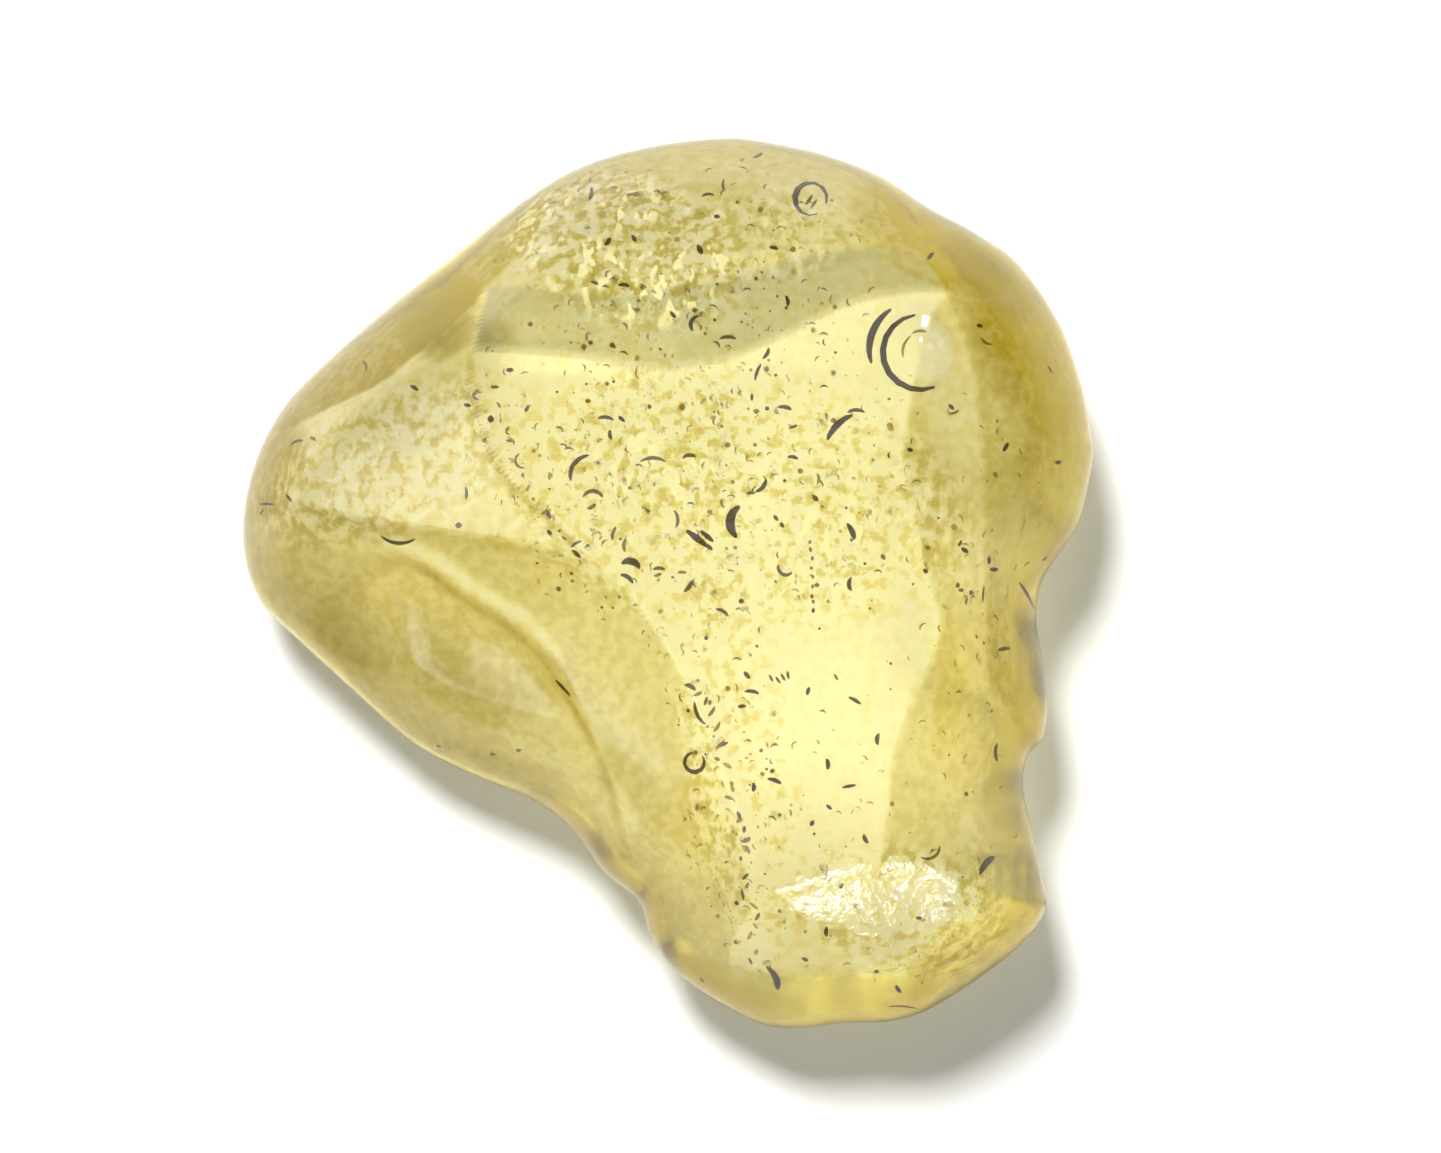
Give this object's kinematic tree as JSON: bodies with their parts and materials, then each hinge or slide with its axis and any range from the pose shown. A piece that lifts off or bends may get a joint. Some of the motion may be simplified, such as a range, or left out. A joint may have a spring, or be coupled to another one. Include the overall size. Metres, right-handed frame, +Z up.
{
  "type": "raw libyan desert glass",
  "caption": "Raw natural desert glass stone: a worn, pale yellow, see-through piece with conchoidal scars and a curved side wing. Lies flat as a specimen or scene stone.",
  "frame": {"origin": "on the ground under the middle of the stone's bounding box", "axes": "+Z up from the flat it lies on; seen from above, +X points away from the wing and +Y points from the narrow near end to the broad far end, along the longest extent"},
  "size_m": [0.0342, 0.0356, 0.0121],
  "materials": {
    "desert_glass": "wind-frosted, see-through pale yellow"
  },
  "bodies": {
    "root": {"desert_glass": "desert_glass"}
  },
  "joints": []
}
